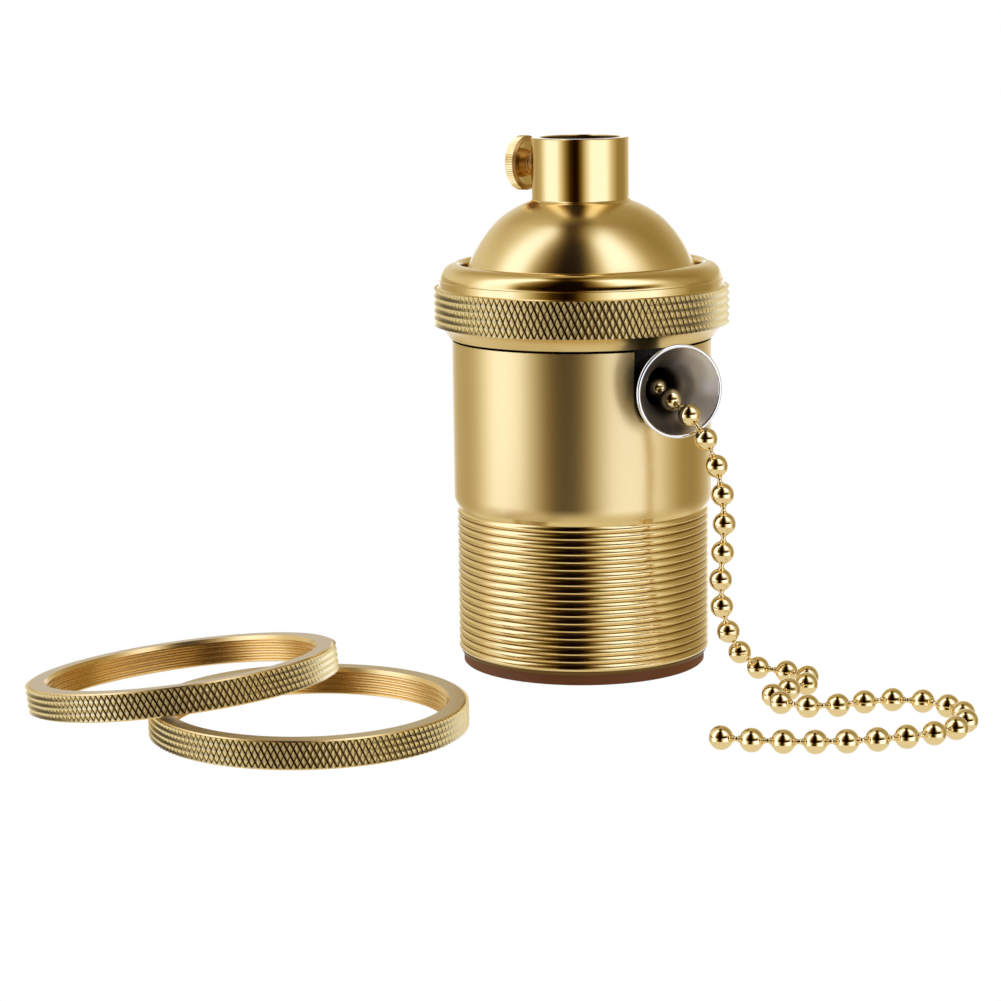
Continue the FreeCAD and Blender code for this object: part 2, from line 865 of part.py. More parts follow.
def pull_lever():
    """Stamped arm on the spindle, with a tab folded up that is slotted for the chain's end link."""
    thick, reach, wide = size("lever_thickness"), size("lever_reach"), size("lever_width")
    boss, half = size("lever_boss"), size("lever_width") / 2
    arm = plate("lever_arm", [
        (-half, boss), (-half, reach + half), (half * 0.16, reach + half),
        (half * 0.16, reach - half), (boss * 0.9, ZERO + boss * 0.4), (boss * 0.4, -boss * 0.9),
        (-boss * 0.4, -boss * 0.9), (-boss * 0.9, ZERO + boss * 0.4),
    ], thick)
    slot_low = chain_level() - lever_level() - size("lever_slot_width") / 2
    high = slot_low + size("lever_slot_width") + size("lever_tab_rim")
    tab = at(block("lever_tab", thick, wide, high), -thick / 2, reach - half, ZERO)
    slot = at(block("lever_slot", thick * 3, size("lever_slot_length"), size("lever_slot_width")),
              thick * -1.5, reach - size("lever_slot_length") / 2, slot_low)
    bore = at(rod("lever_bore", size("spindle_radius") + size("spindle_fit"), thick * 2),
              z=thick * -0.5)
    piece = less("lever_slotted", joined("lever_folded", arm, tab), slot, bore)
    return keep(on_spindle(piece, lever_level(), lever_rest_turn()), "pull_lever")


def drive_pawl():
    """Leaf pawl under the lever, whose bent tip stands behind a ratchet tooth."""
    thick, foot = size("pawl_thickness"), size("pawl_foot")
    high = size("ratchet_thickness") * 0.8
    top = size("stack_gap")
    start = size("ratchet_radius") + size("pawl_gap")
    tip = start - size("pawl_tip")
    leaf = plate("pawl_leaf", [
        (-foot, start + thick), (-foot, start), (foot * 0.6, start), (foot, tip),
        (foot + thick, tip), (foot * 0.6 + thick, start + thick),
    ], high + top)
    return keep(on_spindle(leaf, lever_level() - top - high, lever_rest_turn()), "drive_pawl")


def return_spring():
    """Torsion spring round the spindle that swings the lever back."""
    radius, wire, pitch = size("spring_radius"), size("spring_wire"), size("spring_pitch")
    coil = doc.addObject("Part::Helix", "spring_path")
    bind(coil, "Radius", radius)
    bind(coil, "Pitch", pitch)
    bind(coil, "Height", pitch * size("spring_turns"))
    section = doc.addObject("Part::RegularPolygon", "spring_section")
    section.Polygon = 4
    bind(section, "Circumradius", wire * 0.7)
    section.Placement.Rotation = FreeCAD.Rotation(Vector(1, 0, 0), 90)
    bind(section, "Placement.Base.x", radius)
    swept = doc.addObject("Part::Sweep", "spring_swept")
    swept.Sections = [section]
    swept.Spine = (coil, [])
    swept.Solid = True
    swept.Frenet = True
    level = lever_level() + size("lever_thickness") + wire * 0.7 + size("spring_gap")
    return keep(on_spindle(swept, level), "return_spring")


def wall_reach(bearing, side):
    """How far from the spindle a blade's end meets the housing's round or flat inner wall."""
    angle = math.radians(bearing)
    out = Vector(math.cos(angle), math.sin(angle), 0)
    end = Vector(SIZES["spindle_x"], SIZES["spindle_y"], 0)
    end += Vector(-out.y, out.x, 0) * (side * SIZES["blade_length"] / 2)
    cavity = cavity_radius().value - SIZES["blade_play"]
    ahead = end.dot(out)
    reach = math.sqrt(ahead ** 2 - end.dot(end) + cavity ** 2) - ahead
    if out.x > 0.9:
        reach = min(reach, cavity_flat().value - SIZES["blade_play"] - end.x)
    return Size(reach)


def blade(label, bearing, bottom, side=1):
    """A leaf spring on edge beside the rotor. Its foot, at one end, turns out to the housing's
    wall; side is 1 where the foot is at the end on the left of the outward way, or -1."""
    thick = size("blade_thickness")
    start = rotor_radius() + size("blade_gap")
    wall = wall_reach(bearing, side)
    end = size("blade_length") / 2 * side
    inside = end - thick * side
    leaf = plate(label + "_leaf", [
        (start, -end), (start + thick, -end), (start + thick, inside), (wall, inside),
        (wall, end), (start, end),
    ], size("blade_height"))
    return keep(on_spindle(leaf, bottom, bearing), label)


# ---------------------------------------------------------------------------------------------
# Bell mouth
# ---------------------------------------------------------------------------------------------
def bell_mouth():
    """Spun trumpet with a rolled rim, on a stem that passes through the housing's wall."""
    throat, wall = size("bell_throat"), size("bell_wall")
    rim, mouth, end = size("bell_rim_radius"), size("bell_mouth_radius"), bell_mouth_x()
    shoulder, face = size("bell_shoulder_radius"), bell_shoulder_x()
    start, flare, bend = nut_x(), bell_flare_x(), size("bell_flare_bend")
    outline = [
        (throat, start), (throat + wall, start), (throat + wall, face), (shoulder, face),
        (shoulder, face + size("bell_shoulder_thickness")),
        (throat + wall, face + size("bell_shoulder_thickness")), (throat + wall, flare),
        (mouth - rim * 2, end - rim * 2, -bend),
        (mouth - rim, end - rim * 2), (mouth, end - rim), (mouth - rim, end),
        (mouth - rim * 2, end - rim * 0.5),
        (throat, flare, bend),
    ]
    return keep(along_bell(turned("bell_turned", outline), ZERO), "bell_mouth")


def bell_nut():
    """Hexagon nut inside the housing."""
    flats = size("bell_nut_flats")
    corners = [polar(flats / math.sqrt(3), 60 * corner) for corner in range(6)]
    body = plate("bell_nut_hexagon", corners, size("bell_nut_thickness"))
    bore = rod("bell_nut_bore", size("bell_throat") + size("bell_wall"), size("bell_nut_thickness"))
    return keep(along_bell(less("bell_nut_bored", body, bore), nut_x()), "bell_nut")


# ---------------------------------------------------------------------------------------------
# Ball chain
# ---------------------------------------------------------------------------------------------
def faceted_ball(radius):
    """A bead as a closed solid of flat facets."""
    rings = []
    for latitude in BEAD_LATITUDES:
        level = radius * math.sin(math.radians(latitude))
        reach = radius * math.cos(math.radians(latitude))
        rings.append([Vector(reach * math.cos(2 * math.pi * side / BEAD_SIDES),
                             reach * math.sin(2 * math.pi * side / BEAD_SIDES), level)
                      for side in range(BEAD_SIDES)])
    faces = []
    for low, high in zip(rings, rings[1:]):
        for side in range(BEAD_SIDES):
            after = (side + 1) % BEAD_SIDES
            corners = [low[side], low[after], high[after], high[side], low[side]]
            faces.append(Part.Face(Part.makePolygon(corners)))
    for ring in (rings[0], rings[-1]):
        faces.append(Part.Face(Part.makePolygon(ring + [ring[0]])))
    return Part.Solid(Part.Shell(faces))


def lever_grip_x():
    """Where the chain's last ball sits, just behind the lever's tab."""
    swing = math.radians(SIZES["pull_angle"] / 2)
    return (SIZES["spindle_x"] - SIZES["lever_reach"] * math.sin(swing)
            - SIZES["end_link_set"])


def bead_centres():
    """The last ball, the straight run through the bell mouth, then the beads along the route."""
    pitch, radius = SIZES["bead_pitch"], SIZES["bead_radius"]
    y, z, mouth = SIZES["bell_y"], chain_level().value, bell_mouth_x().value
    centres = [Vector(lever_grip_x(), y, z)]
    first = centres[0].x + SIZES["end_link_pitch"]
    route = [Vector(first, y, z), Vector(first + 2 * pitch, y, z)]
    route += [Vector(mouth + ahead, y + side, z * share) for ahead, side, share in CHAIN_HANGS]
    route += [Vector(mouth + ahead, y + side, radius) for ahead, side in CHAIN_LIES]
    curve = Part.BSplineCurve()
    curve.interpolate(route)
    steps = 6000
    span = curve.LastParameter - curve.FirstParameter
    place = route[0]
    centres.append(place)
    for step in range(1, steps + 1):
        point = curve.value(curve.FirstParameter + span * step / steps)
        point.z = max(point.z, radius)
        if (point - place).Length >= pitch:
            place = point
            centres.append(place)
    return centres


def chain_piece(label, shapes):
    """The flexible chain's beads or links, each a solid of its own, laid along the route."""
    piece = doc.addObject("Part::Feature", label + "_run")
    piece.Shape = Part.makeCompound(shapes)
    return keep(piece, label)


def pull_chain():
    centres = bead_centres()
    ball = faceted_ball(SIZES["bead_radius"])
    beads, links = [], []
    for centre in centres:
        bead = ball.copy()
        bead.translate(centre)
        beads.append(bead)
    keep_off = SIZES["bead_radius"] + SIZES["link_gap"]
    for first, last in zip(centres, centres[1:]):
        along = (last - first).normalize()
        length = (last - first).Length - 2 * keep_off
        corners = [Vector(SIZES["link_radius"] * math.cos(math.pi * side / 3),
                          SIZES["link_radius"] * math.sin(math.pi * side / 3), 0)
                   for side in range(6)]
        link = Part.Face(Part.makePolygon(corners + [corners[0]])).extrude(Vector(0, 0, length))
        link.Placement = FreeCAD.Placement(first + along * keep_off,
                                           FreeCAD.Rotation(Vector(0, 0, 1), along))
        links.append(link)
    chain_piece("pull_chain_beads", beads)
    chain_piece("pull_chain_links", links)


# ---------------------------------------------------------------------------------------------
# Shade rings
# ---------------------------------------------------------------------------------------------
def shade_ring(label):
    """Knurled ring that screws onto the shell's thread to trap a shade."""
    outer, bore = ring_radius(), ring_bore()
    high, chamfer = size("ring_height"), size("ring_chamfer")
    return turned(label + "_turned", [
        (bore + chamfer, ZERO), (outer - chamfer, ZERO), (outer, chamfer),
        (outer, high - chamfer), (outer - chamfer, high), (bore + chamfer, high),
        (bore, high - chamfer), (bore, chamfer),
    ])


def shade_rings():
    """One ring flat on the surface, the other leaning on its edge."""
    flat = at(shade_ring("ring_flat"), size("ring_x"), size("ring_y"))
    keep(flat, "shade_ring_flat")
    chamfer, high, apart = SIZES["ring_chamfer"], SIZES["ring_height"], SIZES["ring_spacing"]
    foot = ring_radius().value - chamfer
    inside = ring_bore().value + chamfer
    reach = (apart ** 2 + inside ** 2 - foot ** 2) / (2 * apart)
    lean = math.atan((high + SIZES["ring_lean_gap"]) / (foot + reach))
    bearing = math.radians(SIZES["ring_bearing"])
    away = Vector(math.cos(bearing), math.sin(bearing), 0)
    hinge = Vector(-away.y, away.x, 0)
    leaning = shade_ring("ring_leaning")
    leaning.Placement.Rotation = FreeCAD.Rotation(hinge, math.degrees(lean))
    at(leaning, size("ring_x") + size("ring_spacing") * away.x,
       size("ring_y") + size("ring_spacing") * away.y,
       (ring_radius() - size("ring_chamfer")) * math.sin(lean))
    return keep(leaning, "shade_ring_leaning")


# ---------------------------------------------------------------------------------------------
# Build, check and write
# ---------------------------------------------------------------------------------------------
shell()
insulating_liner()
collar()
cap()
neck_clamp_screw()
screw_shell()
socket_base()
centre_contact()
contact_rivet()
switch_housing()
switch_cover()
housing_screws()
terminal(0, "live_terminal")
terminal(1, "neutral_terminal")
terminal_screws()
rotor_spindle()
switch_rotor()
rotor_contact()
ratchet_wheel()
pull_lever()
drive_pawl()
return_spring()
blade("contact_spring_live", 300, rotor_contact_level() - size("contact_spring_drop"))
blade("contact_spring_lamp", 180, rotor_contact_level() - size("contact_spring_drop"))
blade("detent_spring", 0, rotor_level(), side=-1)
bell_mouth()
bell_nut()
pull_chain()
shade_rings()
doc.recompute()

os.makedirs("parts", exist_ok=True)
for thing in doc.Objects:
    if "Invalid" in thing.State or "Error" in thing.State:
        raise RuntimeError("%s did not build: %s" % (thing.Label, thing.State))
for piece in PARTS:
    if piece.Shape.isNull() or not piece.Shape.isValid():
        raise RuntimeError("%s has no valid shape" % piece.Label)
    piece.Shape.exportStep("parts/%s.step" % piece.Label)
    print("%-22s solids %2d  volume %9.1f mm3" % (
        piece.Label, len(piece.Shape.Solids), piece.Shape.Volume))
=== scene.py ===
"""Looks of the pull-chain lamp holder: gold metal, knurls and threads, chrome bell mouth."""
import math

import bmesh
import bpy
import numpy as np
from mathutils import Matrix, Vector


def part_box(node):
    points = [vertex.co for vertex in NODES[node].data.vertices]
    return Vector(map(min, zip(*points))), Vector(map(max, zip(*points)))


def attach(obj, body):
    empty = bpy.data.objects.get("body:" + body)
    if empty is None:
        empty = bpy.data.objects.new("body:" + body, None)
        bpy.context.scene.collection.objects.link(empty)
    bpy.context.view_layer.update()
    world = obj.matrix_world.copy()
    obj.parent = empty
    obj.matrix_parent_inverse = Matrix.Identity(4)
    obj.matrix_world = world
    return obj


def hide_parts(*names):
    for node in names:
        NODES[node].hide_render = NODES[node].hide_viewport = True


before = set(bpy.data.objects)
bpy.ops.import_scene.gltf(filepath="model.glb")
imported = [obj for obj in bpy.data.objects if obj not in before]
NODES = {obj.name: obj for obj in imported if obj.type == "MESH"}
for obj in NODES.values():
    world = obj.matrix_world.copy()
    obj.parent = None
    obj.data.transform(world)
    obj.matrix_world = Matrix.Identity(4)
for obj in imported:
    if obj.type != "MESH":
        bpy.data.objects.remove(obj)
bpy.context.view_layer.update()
MM = 0.001

# ---------------------------------------------------------------------------------------------
# Camera. Its bearing is where it stands, in degrees about +Z from +X. Places are in metres, the
# lens and the sensor in millimetres.
# ---------------------------------------------------------------------------------------------
CAMERA_BEARING = -25.3
CAMERA_DISTANCE = 0.4318
CAMERA_HEIGHT = 0.1028
CAMERA_TURN_LEFT = 1.664
CAMERA_TILT_DOWN = 10.27
CAMERA_ROLL = 0.736
CAMERA_LENS = 103.57
CAMERA_SENSOR = 36
CAMERA_NEAR = 0.01

# ---------------------------------------------------------------------------------------------
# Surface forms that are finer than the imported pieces
# ---------------------------------------------------------------------------------------------
# Threads: depth and pitch.
SHELL_THREAD = (0.27 * MM, 1.15 * MM)
RING_THREAD = (0.3 * MM, 0.8 * MM)
NECK_THREAD = (0.15 * MM, 1.0 * MM)
SCREW_THREAD = (0.15 * MM, 0.7 * MM)
# A ridge's outline, upward: (share of the pitch, share of the depth below the crest).
RIDGE = ((0.0, 1.0), (0.14, 1.0), (0.32, 0.35), (0.46, 0.0), (0.66, 0.0), (0.84, 0.35))

# Knurls: how deep, how many pyramids around and how many rows up.
COLLAR_KNURL, COLLAR_PYRAMIDS, COLLAR_ROWS = 0.55 * MM, 136, 2.5
RING_KNURL, RING_PYRAMIDS, RING_ROWS = 0.45 * MM, 156, 2
# Widths of the two ways of grooves, as shares of a pyramid's width.
GROOVE, CROSS_GROOVE = 0.15, 0.08
SCREW_KNURL, SCREW_RIBS = 0.12 * MM, 72

# Steps around a turned piece.
SEGMENTS = 256
BELL_SEGMENTS = 160
SCREW_SEGMENTS = 96


def box_centre(node):
    low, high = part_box(node)
    return (low + high) / 2


def points_of(node):
    return np.array([vertex.co for vertex in NODES[node].data.vertices])


# ---------------------------------------------------------------------------------------------
# Materials
# ---------------------------------------------------------------------------------------------
BRUSHED_TURN = 0.25
SPECKLE_SCALE, SPECKLE_DETAIL, SPECKLE_HEIGHT = 1500, 3, 0.05 * MM


def surface(name, colour, metallic, roughness, brushed=0.0, speckle=0.0):
    """brushed lengthens highlights along Z, as fine turning marks do; speckle roughens."""
    material = bpy.data.materials.new(name)
    material.use_nodes = True
    nodes, links = material.node_tree.nodes, material.node_tree.links
    shader = nodes["Principled BSDF"]
    shader.inputs["Base Color"].default_value = (*colour, 1)
    shader.inputs["Metallic"].default_value = metallic
    shader.inputs["Roughness"].default_value = roughness
    if brushed:
        tangent = nodes.new("ShaderNodeTangent")
        tangent.direction_type = "RADIAL"
        tangent.axis = "Z"
        shader.inputs["Anisotropic"].default_value = brushed
        shader.inputs["Anisotropic Rotation"].default_value = BRUSHED_TURN
        links.new(tangent.outputs["Tangent"], shader.inputs["Tangent"])
    if speckle:
        place = nodes.new("ShaderNodeTexCoord")
        noise = nodes.new("ShaderNodeTexNoise")
        noise.inputs["Scale"].default_value = SPECKLE_SCALE
        noise.inputs["Detail"].default_value = SPECKLE_DETAIL
        bump = nodes.new("ShaderNodeBump")
        bump.inputs["Strength"].default_value = speckle
        bump.inputs["Distance"].default_value = SPECKLE_HEIGHT
        links.new(place.outputs["Object"], noise.inputs["Vector"])
        links.new(noise.outputs["Fac"], bump.inputs["Height"])
        links.new(bump.outputs["Normal"], shader.inputs["Normal"])
    return material


def colour_ramp(nodes, links, value, stops):
    """A colour that follows a value through its stops, (value, colour), in rising order."""
    start, end = stops[0][0], stops[-1][0]
    share = nodes.new("ShaderNodeMapRange")
    share.inputs["From Min"].default_value = start
    share.inputs["From Max"].default_value = end
    links.new(value, share.inputs["Value"])
    ramp = nodes.new("ShaderNodeValToRGB")
    links.new(share.outputs["Result"], ramp.inputs["Fac"])
    elements = ramp.color_ramp.elements
    elements.remove(elements[1])
    for index, (place, colour) in enumerate(stops):
        element = elements.new((place - start) / (end - start)) if index else elements[0]
        element.color = (*colour, 1)
    return ramp.outputs["Color"]


YELLOW_GOLD = (0.83, 0.64, 0.30)
SATIN_GOLD = surface("satin_gold", YELLOW_GOLD, 1, 0.32, brushed=0.5)
THREAD_GOLD = surface("thread_gold", YELLOW_GOLD, 1, 0.12)
SHADED_GOLD = surface("shaded_gold", (0.60, 0.36, 0.12), 1, 0.4)
DOME_GOLD = surface("dome_gold", YELLOW_GOLD, 1, 0.22, brushed=0.5)
POLISHED_GOLD = surface("polished_gold", YELLOW_GOLD, 1, 0.10)
# Painted light: a lighter copy of the gold on the knurls' pyramids.
LIT_KNURL_GOLD = surface("lit_knurl_gold", (1.0, 0.86, 0.51), 1, 0.38)
# Painted shade: a near-black copy of the gold on the knurls' groove walls.
GROOVE_SHADE_GOLD = surface("groove_shade_gold", (0.06, 0.032, 0.010), 1, 0.4)
# Painted light: a warmer, lighter copy of the gold that stands for light bounced inside the shade
# rings' threads.
INNER_LIT_GOLD = surface("inner_lit_gold", (0.86, 0.62, 0.27), 1, 0.25)
# Painted shade: a dark copy of the gold in the shell thread's roots and inside the neck's bore.
RECESS_SHADE_GOLD = surface("recess_shade_gold", (0.16, 0.09, 0.03), 1, 0.35)
BEAD_GOLD = surface("bead_gold", (0.94, 0.77, 0.43), 1, 0.03)
RING_GOLD = surface("ring_gold", (0.62, 0.50, 0.30), 1, 0.35, speckle=0.2)
GAP_SHADE = surface("gap_shade", (0.008, 0.004, 0.001), 0, 0.8)
GAP_SHADE.node_tree.nodes["Principled BSDF"].inputs["Specular IOR Level"].default_value = 0
BRASS = surface("contact_brass", (0.72, 0.50, 0.20), 1, 0.25)
CHROME = surface("chrome_plate", (0.88, 0.87, 0.86), 1, 0.06)
STEEL = surface("plated_steel", (0.60, 0.59, 0.56), 1, 0.3)
MOULDING = surface("brown_moulding", (0.008, 0.005, 0.003), 0, 0.6)
FIBRE = surface("fibre_board", (0.24, 0.075, 0.012), 0, 0.6, speckle=0.3)


# ---------------------------------------------------------------------------------------------
# Making pieces
# ---------------------------------------------------------------------------------------------
def mesh_object(name, verts, faces, material, smooth=True):
    mesh = bpy.data.meshes.new(name)
    mesh.from_pydata([tuple(v) for v in verts], [], [tuple(f) for f in faces])
    mesh.update()
    if smooth:
        mesh.shade_smooth()
    else:
        mesh.shade_flat()
    thing = bpy.data.objects.new(name, mesh)
    bpy.context.scene.collection.objects.link(thing)
    mesh.materials.append(material)
    return thing


def lathe(name, outline, material, segments=SEGMENTS, closed=True, sharp=30):
    """A turned piece about Z from an outline's (radius, height) points."""
    angles = np.arange(segments) * 2 * math.pi / segments
    rings = len(outline)
    verts = [(r * math.cos(a), r * math.sin(a), z) for a in angles for r, z in outline]
    faces = []
    for i in range(segments):
        j = (i + 1) % segments
        for k in range(rings if closed else rings - 1):
            m = (k + 1) % rings
            faces.append((i * rings + k, j * rings + k, j * rings + m, i * rings + m))
    thing = mesh_object(name, verts, faces, material)
    thing.data.set_sharp_from_angle(angle=math.radians(sharp))
    return thing


def paint(thing, material, test):
    """Gives a material to the faces whose middle, as (radius, height), passes the test."""
    index = len(thing.data.materials)
    thing.data.materials.append(material)
    for face in thing.data.polygons:
        if test(math.hypot(face.center.x, face.center.y), face.center.z):
            face.material_index = index


def arc(start, end, bend, steps=10):
    """Points of an arc, after start and up to end. bend is its radius, positive where it turns
    left."""
    start, end = Vector(start), Vector(end)
    chord = end - start
    left = Vector((-chord.y, chord.x)).normalized()
    rise = math.sqrt(max(bend ** 2 - (chord.length / 2) ** 2, 0))
    centre = (start + end) / 2 + left * math.copysign(rise, bend)
    first, last = start - centre, end - centre
    turn = -first.angle_signed(last)
    return [tuple(centre + Matrix.Rotation(turn * step / steps, 2) @ first)
            for step in range(1, steps + 1)]


def ridged(bottom, top, crest, depth, pitch):
    """Outline points of a fine thread's ridges, upward from bottom to top."""
    points = []
    turns = int((top - bottom) / pitch)
    for turn in range(turns):
        low = bottom + pitch * turn
        points += [(crest - depth * deep, low + pitch * along) for along, deep in RIDGE]
    points.append((crest - depth, bottom + pitch * turns))
    return points


def knurl_band(name, radius, bottom, top, count, rows, depth):
    """A diamond-knurled band about Z: rows of pyramids between crossed grooves. The groove walls
    carry painted shade, a near-black copy of the metal, and the pyramids a lighter copy as
    painted light. Each pyramid is a lattice cell: its corners, its foot and its tip."""
    corners = [(0, 0), (1, 0), (1, 1), (0, 1)]
    foot = [(GROOVE, CROSS_GROOVE), (1 - GROOVE, CROSS_GROOVE),
            (1 - GROOVE, 1 - CROSS_GROOVE), (GROOVE, 1 - CROSS_GROOVE)]
    tip = (0.5, 0.5)
    verts, faces, deep = [], [], []
    for level in range(int(rows * 2) + 1):
        for i in range(count):
            start = len(verts)
            for first, second in corners + foot + [tip]:
                along = i + (level % 2) / 2 + (first + second - 1) / 2
                rise = level / 2 + (first - second) / 2
                angle = 2 * math.pi * along / count
                height = bottom + (top - bottom) * min(max(rise / rows, 0), 1)
                r = radius if (first, second) == tip else radius - depth
                verts.append((r * math.cos(angle), r * math.sin(angle), height))
            for k in range(4):
                m = (k + 1) % 4
                faces.append((start + m, start + k, start + 4 + k, start + 4 + m))
                faces.append((start + 4 + m, start + 4 + k, start + 8))
                # Groove walls take the painted shade, pyramid faces the painted light.
                deep += [1, 0]
    thing = mesh_object(name, verts, faces, LIT_KNURL_GOLD, smooth=False)
    thing.data.materials.append(GROOVE_SHADE_GOLD)
    thing.data.polygons.foreach_set("material_index", deep)
    return thing


def straight_knurl(name, radius, bottom, top, count, depth):
    """A band of fine straight ribs about Z."""
    verts, faces = [], []
    for i in range(count * 2):
        angle = math.pi * i / count
        r = radius - depth * (i % 2)
        verts += [(r * math.cos(angle), r * math.sin(angle), bottom),
                  (r * math.cos(angle), r * math.sin(angle), top)]
    for i in range(count * 2):
        j = (i + 1) % (count * 2)
        faces.append((2 * i, 2 * j, 2 * j + 1, 2 * i + 1))
    return mesh_object(name, verts, faces, POLISHED_GOLD, smooth=False)


def join(name, *pieces):
    """Makes one object of several."""
    bpy.ops.object.select_all(action="DESELECT")
    for piece in pieces:
        piece.select_set(True)
    bpy.context.view_layer.objects.active = pieces[0]
    bpy.ops.object.join()
    pieces[0].name = name
    return pieces[0]


def cut(thing, cutter):
    """Cuts a closed piece with another and drops the cutter."""
    tool = thing.modifiers.new("cut", "BOOLEAN")
    tool.operation = "DIFFERENCE"
    tool.object = cutter
    tool.solver = "EXACT"
    bpy.context.view_layer.objects.active = thing
    bpy.ops.object.modifier_apply(modifier=tool.name)
    bpy.data.objects.remove(cutter)
    return thing


def stand_for(thing, body, slot, *nodes):
    """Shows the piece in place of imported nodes, on their body."""
    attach(thing, body)
    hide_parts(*nodes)


# ---------------------------------------------------------------------------------------------
# Shell with its thread and slot
# ---------------------------------------------------------------------------------------------
SHELL_WALL = 1.0 * MM
THREAD_SET_IN = 0.35 * MM
THREAD_LENGTH = 22.8 * MM
SHOULDER_RISE = 1.1 * MM
shell_low, shell_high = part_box("shell")
SHELL_RADIUS, SHELL_BOTTOM, SHELL_TOP = shell_high.x, shell_low.z, shell_high.z
SHELL_BORE = SHELL_RADIUS - SHELL_WALL
THREAD_RADIUS = SHELL_RADIUS - THREAD_SET_IN
THREAD_TOP = SHELL_BOTTOM + THREAD_LENGTH
SHOULDER = THREAD_TOP + SHOULDER_RISE
bell_low, bell_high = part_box("bell_mouth")
BELL_Y = (bell_low.y + bell_high.y) / 2
BELL_Z = (bell_low.z + bell_high.z) / 2
SLOT_HALF = 4.1 * MM
SLOT_DROP = 5.5 * MM
SLOT_CORNER = 3.4 * MM


def slot_tool():
    """The bell mouth's slot as a solid to cut with: round corners below, open at the top."""
    near, far = 10 * MM, 24 * MM
    steps = [math.radians(90 * step / 8) for step in range(9)]
    corner = []
    for side, centre in ((-1, BELL_Y - SLOT_HALF + SLOT_CORNER),
                         (1, BELL_Y + SLOT_HALF - SLOT_CORNER)):
        bend = [(centre + side * SLOT_CORNER * math.sin(t),
                 BELL_Z - SLOT_DROP + SLOT_CORNER * (1 - math.cos(t))) for t in steps]
        corner.append(bend if side > 0 else list(reversed(bend)))
    outline = corner[0] + corner[1]
    outline += [(BELL_Y + SLOT_HALF, SHELL_TOP + MM), (BELL_Y - SLOT_HALF, SHELL_TOP + MM)]
    count = len(outline)
    verts = [(near, y, z) for y, z in outline] + [(far, y, z) for y, z in outline]
    faces = [tuple(range(count))[::-1], tuple(range(count, 2 * count))]
    faces += [(i, (i + 1) % count, (i + 1) % count + count, i + count) for i in range(count)]
    return mesh_object("slot_tool", verts, faces, SATIN_GOLD)


def shell():
    """The smooth wall has many rings of faces, which keep its shading clean around the slot."""
    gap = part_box("collar")[0].z
    groove = SHELL_RADIUS - 0.35 * MM
    root = THREAD_RADIUS - SHELL_THREAD[0] * 0.9
    rings = 24
    outline = [(SHELL_BORE, SHELL_BOTTOM), (THREAD_RADIUS - 0.5 * MM, SHELL_BOTTOM)]
    outline += ridged(SHELL_BOTTOM + 0.45 * MM, THREAD_TOP, THREAD_RADIUS, *SHELL_THREAD)
    outline += [(THREAD_RADIUS, THREAD_TOP + 0.2 * MM), (SHELL_RADIUS, SHOULDER)]
    outline += [(SHELL_RADIUS, z) for z in np.linspace(SHOULDER, gap - 0.42 * MM, rings)[1:]]
    outline += [(groove, gap - 0.38 * MM), (groove, gap + 0.2 * MM),
                (SHELL_RADIUS, gap + 0.25 * MM), (SHELL_RADIUS, SHELL_TOP),
                (SHELL_BORE, SHELL_TOP)]
    thing = lathe("shell_look", outline, SATIN_GOLD)
    paint(thing, THREAD_GOLD, lambda r, z: z < THREAD_TOP)
    paint(thing, GAP_SHADE, lambda r, z: gap - 0.4 * MM < z < gap + 0.24 * MM)
    # Painted shade in the thread's roots and on the edge below them.
    paint(thing, RECESS_SHADE_GOLD, lambda r, z: z < THREAD_TOP and SHELL_BORE + 0.1 * MM < r < root)
    thing = cut(thing, slot_tool())
    stand_for(thing, "holder", "gold_metal", "shell")


def liner():
    low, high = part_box("insulating_liner")
    wall, edge = 0.85 * MM, 0.15 * MM
    outer = high.x
    inner = outer - wall
    outline = [(inner, low.z + edge), (inner + edge, low.z), (outer - edge, low.z),
               (outer, low.z + edge), (outer, high.z), (inner, high.z)]
    thing = cut(lathe("liner_look", outline, FIBRE), slot_tool())
    stand_for(thing, "holder", "fibre_board", "insulating_liner")


# ---------------------------------------------------------------------------------------------
# Collar, cap and clamp screw
# ---------------------------------------------------------------------------------------------
def collar():
    """From its foot up: a round edge, the knurled band, a narrower step and the inward lip."""
    low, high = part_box("collar")
    radius, bottom, top = high.x, low.z, high.z
    band = bottom + 1.95 * MM
    step = band + 5.5 * MM
    upper = radius - 0.8 * MM
    bore = SHELL_RADIUS + 0.08 * MM
    lip = 18.05 * MM
    wall = 1.0 * MM
    edge = 0.18 * MM
    foot = radius - COLLAR_KNURL
    toe = (bore + 0.3 * MM, bottom)
    rim = (upper - 0.14 * MM, step + 1.3 * MM)
    outline = [(bore, bottom), toe]
    outline += arc(toe, (foot, band), -4.5 * MM, 8)
    outline += [(foot - 0.2 * MM, band + edge), (foot - 0.2 * MM, step - edge),
                (foot, step), (upper, step + edge), (upper, step + 1.2 * MM), rim]
    outline += arc(rim, (lip + wall, top), wall * 2.4)
    outline += arc((lip + wall, top), (lip, top - wall / 2), wall * 0.75, 5)
    outline += [(lip, top - wall), (lip + wall, top - wall * 1.3), (bore, top - 2.2 * MM)]
    body = lathe("collar_look", outline, POLISHED_GOLD)
    paint(body, SATIN_GOLD, lambda r, z: z < band)
    knurl = knurl_band("collar_knurl", radius, band, step, COLLAR_PYRAMIDS, COLLAR_ROWS,
                       COLLAR_KNURL)
    stand_for(join("collar_look", body, knurl), "collar", "gold_metal", "collar")


